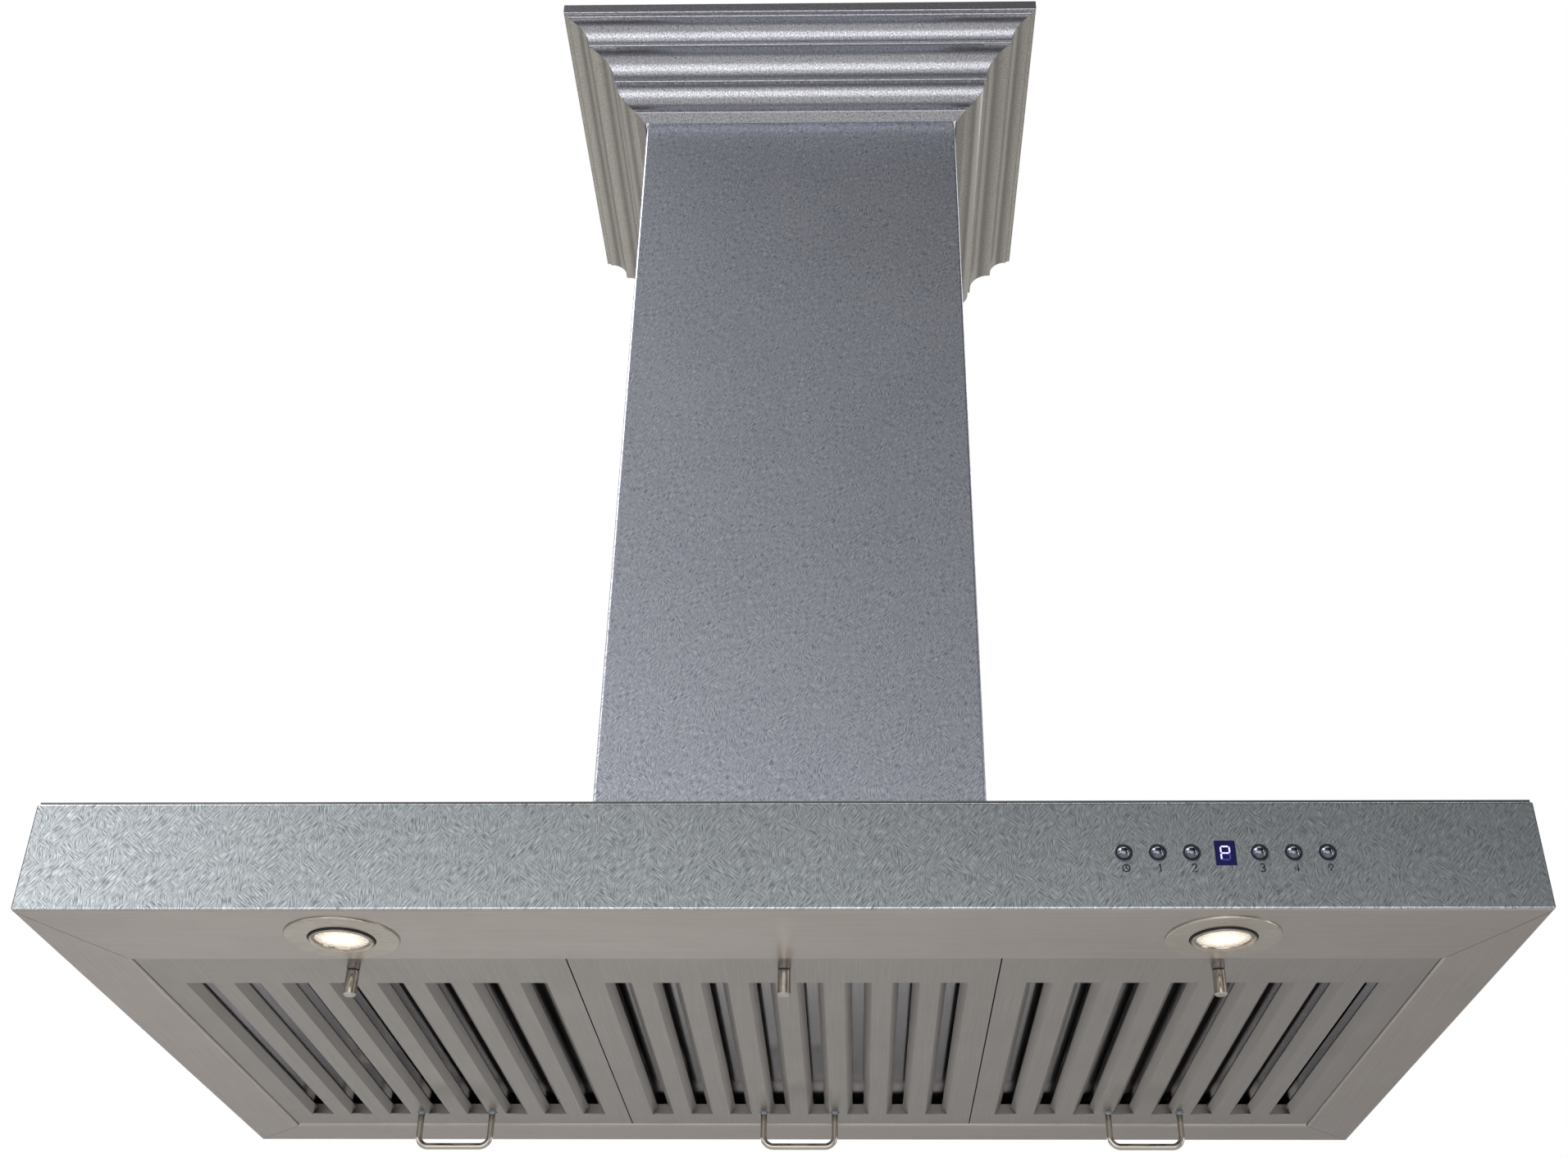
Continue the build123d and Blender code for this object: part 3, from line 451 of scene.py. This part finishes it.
# ---- lamp heads: ring, sleeve, lit glass, reflector and base in each trim ----
# profiles in millimetres: distance from the lamp's axis, height above its pivots
LAMP_RING = [(19.2, -5.0), (19.6, -4.6), (19.6, 4.6), (16.9, 5.0), (16.5, 4.4), (16.5, -3.7),
             (17.0, -4.5), (17.8, -5.0)]
LAMP_SLEEVE = [(19.65, -4.3), (20.1, -4.3), (20.4, -3.9), (20.4, 3.0), (19.65, 3.0)]
REFLECTOR = [(15.7, 2.2), (14.2, 6.0), (12.0, 10.5), (9.4, 14.8), (7.2, 18.0), (6.4, 21.2)]
BASE = [(0.01, 20.6), (5.6, 20.6), (6.9, 21.4), (6.9, 26.4), (5.8, 27.2), (0.01, 27.2)]
LENS_R, LENS_CROWN, LENS_FACE, LENS_THICK, LENS_STEPS = 16.3, 1.2, -3.4, 3.0, 8
FLUTES, FLUTE_DEPTH = 24, 0.16 * MM
REFLECTOR_FACETS, REFLECTOR_SHEET = 24, 0.6 * MM

lens_profile = [(0.01, LENS_FACE - LENS_CROWN)]
lens_profile += [(LENS_R * k / LENS_STEPS, LENS_FACE - LENS_CROWN * (1 - (k / LENS_STEPS) ** 2))
                 for k in range(1, LENS_STEPS + 1)]
lens_profile += [(LENS_R, LENS_FACE + LENS_THICK), (0.01, LENS_FACE + LENS_THICK)]
lamp_height = underside + 2 * MM
lamp_axes = {side: Vector((*middle(f"lamp_{side}").xy, lamp_height)) for side in SIDES}
glass = lit_glass("borosilicate_lit", lamp_axes["right"], LENS_R * MM)
for side, axis in lamp_axes.items():
    body = f"lamp_head_{side}"
    ring = keep_mesh(f"lamp_ring_{side}", revolve(at_scale(LAMP_RING), axis), ring_steel, body)
    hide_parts(f"lamp_{side}")
    keep_mesh(f"lamp_sleeve_{side}", revolve(at_scale(LAMP_SLEEVE), axis), black_plastic, body)
    shell = bowl(at_scale(REFLECTOR), axis, REFLECTOR_FACETS, REFLECTOR_SHEET)
    keep_mesh(f"lamp_reflector_{side}", shell, reflector_metal, body,
              smooth=False)
    keep_mesh(f"lamp_base_{side}", revolve(at_scale(BASE), axis, 40), lamp_base, body)
    pressed = revolve(at_scale(lens_profile), axis, 96)
    for vert in pressed.verts:
        out = vert.co - axis
        if out.z < (LENS_FACE + 0.1) * MM:
            share = min(out.xy.length / (LENS_R * MM), 1.0)
            vert.co.z += FLUTE_DEPTH * share * cos(FLUTES * atan2(out.y, out.x))
    keep_mesh(f"lamp_glass_{side}", pressed, glass, body)

# ---- weld beads where each wire handle meets its filter plate ----
WIRE_R = 2.5 * MM
BEAD = [(2.3, 0.05), (3.9, 0.05), (3.7, -0.35), (3.1, -0.8), (2.75, -1.5), (2.5, -2.3), (2.3, -2.3)]
BEAD_LOBES, BEAD_WAVE = 5, 0.07
for bay in BAYS:
    low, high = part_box(f"filter_handle_{bay}")
    row_y = (low.y + high.y) / 2
    beads = bmesh.new()
    for x in (low.x + WIRE_R, high.x - WIRE_R):
        foot = Vector((x, row_y, plate_face))
        bead = revolve(at_scale(BEAD), foot, 28)
        for vert in bead.verts:
            out = vert.co - foot
            wave = BEAD_WAVE * sin(BEAD_LOBES * atan2(out.y, out.x))
            vert.co += Vector((out.x, out.y, 0)) * wave
        holder = bpy.data.meshes.new("holder")
        bead.to_mesh(holder)
        bead.free()
        beads.from_mesh(holder)
        bpy.data.meshes.remove(holder)
    keep_mesh(f"handle_welds_{bay}", beads, weld_steel, f"filter_{bay}")

# ---- printed marks below the buttons ----
MARK_HEIGHT = 4.9 * MM
MARK_DROP = 9.3 * MM
MARK_SHIFT = 0.8 * MM
MARK_STROKE = 0.85 * MM
INK_STAND = 0.03 * MM
# strokes in shares of the mark's height: a power sign, the figures 1 to 4, and a lamp
MARKS = (
    [arc(0.3, 0.45, 0.44, 0, 360, 28), [(0.3, 0.78), (0.3, 0.45), (0.52, 0.3)]],
    [[(0.12, 0.8), (0.34, 1.0), (0.34, 0.0)]],
    [arc(0.31, 0.7, 0.28, 165, -40) + [(0.03, 0.0), (0.62, 0.0)]],
    [arc(0.29, 0.74, 0.25, 150, -90), arc(0.29, 0.25, 0.28, 90, -150)],
    [[(0.46, 0.0), (0.46, 1.0), (0.0, 0.3), (0.64, 0.3)]],
    [arc(0.3, 0.66, 0.26, -50, 230, 20), [(0.18, 0.3), (0.42, 0.3)], [(0.22, 0.12), (0.38, 0.12)]],
)
for number, (button_x, strokes) in enumerate(zip(button_row, MARKS), 1):
    left = button_x + MARK_SHIFT - 0.3 * MARK_HEIGHT
    base_z = middle(f"button_{number}").z - MARK_DROP - MARK_HEIGHT / 2
    marks = bmesh.new()
    for stroke in strokes:
        points = [(left + x * MARK_HEIGHT, base_z + z * MARK_HEIGHT) for x, z in stroke]
        ribbon(marks, points, MARK_STROKE, front_face - INK_STAND)
    keep_mesh(f"printed_mark_{number}", marks, ink, "hood", smooth=False)

# ---- seven-segment digit on the display window ----
DIGIT_HALF_W, DIGIT_HALF_H, BAR, BAR_GAP = 2.6 * MM, 4.2 * MM, 0.95 * MM, 0.2 * MM
DIGIT_STAND = 0.04 * MM
UNLIT = "cd"
BARS = {"a": ((-1, 1), (1, 1)), "b": ((1, 1), (1, 0)), "c": ((1, 0), (1, -1)),
        "d": ((-1, -1), (1, -1)), "e": ((-1, 0), (-1, -1)), "f": ((-1, 1), (-1, 0)),
        "g": ((-1, 0), (1, 0))}
digit_mid = middle("display")
digit_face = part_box("display")[0].y - DIGIT_STAND
for name, ends in BARS.items():
    first, last = (Vector((digit_mid.x + across * DIGIT_HALF_W, digit_mid.z + up * DIGIT_HALF_H))
                   for across, up in ends)
    run = (last - first).normalized()
    out = Vector((-run.y, run.x)) * BAR / 2
    first, last = first + run * BAR_GAP, last - run * BAR_GAP
    outline = [first, first + run * BAR / 2 + out, last - run * BAR / 2 + out, last,
               last - run * BAR / 2 - out, first + run * BAR / 2 - out]
    bar = bmesh.new()
    bar.faces.new([bar.verts.new((p.x, digit_face, p.y)) for p in outline])
    keep_mesh(f"digit_bar_{name}", bar, digit_dim if name in UNLIT else digit_lit, "hood",
              smooth=False)

# ---- camera ----
camera_data = bpy.data.cameras.new("camera")
camera_data.lens, camera_data.sensor_width = 41.36, 36.0
camera_data.shift_x, camera_data.shift_y = -0.0265, -0.0402
camera = bpy.data.objects.new("camera", camera_data)
bpy.context.collection.objects.link(camera)
bpy.context.scene.camera = camera
CAMERA_TURN, CAMERA_TILT, CAMERA_ROLL = -0.018, 0.5734, 0.0055
CAMERA_PLACE = Vector((0.0450, -1.2903, -1.2403))
ahead = Vector((sin(CAMERA_TURN) * cos(CAMERA_TILT), cos(CAMERA_TURN) * cos(CAMERA_TILT),
                sin(CAMERA_TILT)))
level = Vector((cos(CAMERA_TURN), -sin(CAMERA_TURN), 0))
across = level * cos(CAMERA_ROLL) + level.cross(ahead) * sin(CAMERA_ROLL)
camera.matrix_world = Matrix.Translation(CAMERA_PLACE) @ Matrix(
    (across, across.cross(ahead), -ahead)).transposed().to_4x4()

# ---- studio: graded room ----
# Brightness of the room by height, from straight down at 0 to straight up at 1. Both halves are
# brightest near the horizon, which the upright faces and the slots reflect.
FRONT_ROOM = ((0.0, 0.4), (0.40, 0.7), (0.50, 1.0), (0.58, 1.0), (0.66, 0.40), (0.74, 0.25),
              (0.86, 0.17), (1.0, 0.35))
BACK_ROOM = ((0.0, 0.14), (0.41, 0.14), (0.465, 0.75), (0.52, 0.8), (0.62, 0.62), (0.75, 0.4),
             (1.0, 0.4))
bpy.context.scene.view_settings.view_transform = "Standard"
world = bpy.data.worlds.new("studio")
bpy.context.scene.world = world
world.use_nodes = True
sky = world.node_tree
toward = add(sky, "ShaderNodeSeparateXYZ", {
    "Vector": add(sky, "ShaderNodeTexCoord", out="Generated")}).outputs
height = add(sky, "ShaderNodeMapRange", {"Value": toward["Z"], "From Min": -1, "From Max": 1},
             "Result")
front_room, back_room = (
    add(sky, "ShaderNodeValToRGB", {"Fac": height}, "Color",
        [(position, (level, level, level, 1)) for position, level in levels])
    for levels in (FRONT_ROOM, BACK_ROOM))
ahead_share = add(sky, "ShaderNodeMapRange", {"Value": toward["Y"], "From Min": -0.5,
                  "From Max": 0.15, "To Min": 1, "To Max": 0}, "Result")
# the front half is brighter on the left
lean = add(sky, "ShaderNodeMapRange", {"Value": toward["X"], "From Min": -0.6,
           "From Max": 0.42, "To Min": 1.85, "To Max": 0.25}, "Result")
room = add(sky, "ShaderNodeMix", {0: ahead_share, 6: back_room, 7: front_room}, 2,
           data_type="RGBA")
strength = add(sky, "ShaderNodeMix", {0: ahead_share, 2: 1.0, 3: lean}, 0, data_type="FLOAT")
lit_room = sky.nodes["Background"]
sky.links.new(room, lit_room.inputs["Color"])
sky.links.new(strength, lit_room.inputs["Strength"])
# the camera itself sees plain white
backdrop = add(sky, "ShaderNodeBackground", {"Color": (1, 1, 1, 1)}, "Background")
seen = add(sky, "ShaderNodeLightPath", out="Is Camera Ray")
both = add(sky, "ShaderNodeMixShader", {0: seen, 1: lit_room.outputs[0], 2: backdrop}, "Shader")
sky.links.new(both, sky.nodes["World Output"].inputs["Surface"])

# ---- studio: soft boxes and pale floor ----
def soft_box(name, centre, target, wide, tall, radiance):
    """A soft area lamp aimed at a point, as bright per square metre as asked."""
    lamp = bpy.data.lights.new(name, "AREA")
    lamp.shape, lamp.size, lamp.size_y = "RECTANGLE", wide, tall
    lamp.energy = radiance * pi * wide * tall
    holder = bpy.data.objects.new(name, lamp)
    holder.location = centre
    holder.rotation_euler = (Vector(target) - Vector(centre)).to_track_quat("-Z", "Y").to_euler()
    bpy.context.collection.objects.link(holder)

soft_box("overhead_left", (-2.6, -1.2, 2.4), (0, 0, -1.2), 2.0, 2.0, 7.0)
soft_box("overhead_front", (0.0, -0.7, 2.4), (0, -0.3, -0.8), 3.0, 0.5, 4.0)
soft_box("overhead_right", (2.4, 1.8, 2.4), (0, 0, -1.2), 2.0, 2.0, 2.0)
soft_box("key_left", (-2.4, -2.6, 0.45), (0, 0, -0.6), 1.7, 1.5, 1.2)
soft_box("low_front", (0.0, -3.6, -1.45), (0, 0, -0.3), 3.4, 2.2, 1.3)
soft_box("key_right", (2.6, -1.6, 0.0), (0.3, -0.3, -0.8), 0.6, 0.6, 5.0)
soft_box("low_right", (3.2, -0.8, -1.3), (0, 0, -0.1), 1.6, 1.6, 1.8)
soft_box("floor_wash", (-1.3, 3.9, -0.3), (-1.3, 4.0, -2.6), 3.4, 1.6, 3.0)

FLOOR_SIZE, FLOOR_HEIGHT = 10.8, -2.6
bpy.ops.mesh.primitive_plane_add(size=FLOOR_SIZE, location=(0, 0, FLOOR_HEIGHT))
floor = bpy.context.object
floor.name = "floor"
# rolled floor paint: an even matt off-white that throws soft light back up
floor.data.materials.append(moulded("floor_paint_white", "#DEDEDC", "#EAEAE8", 0.6, 8.0))
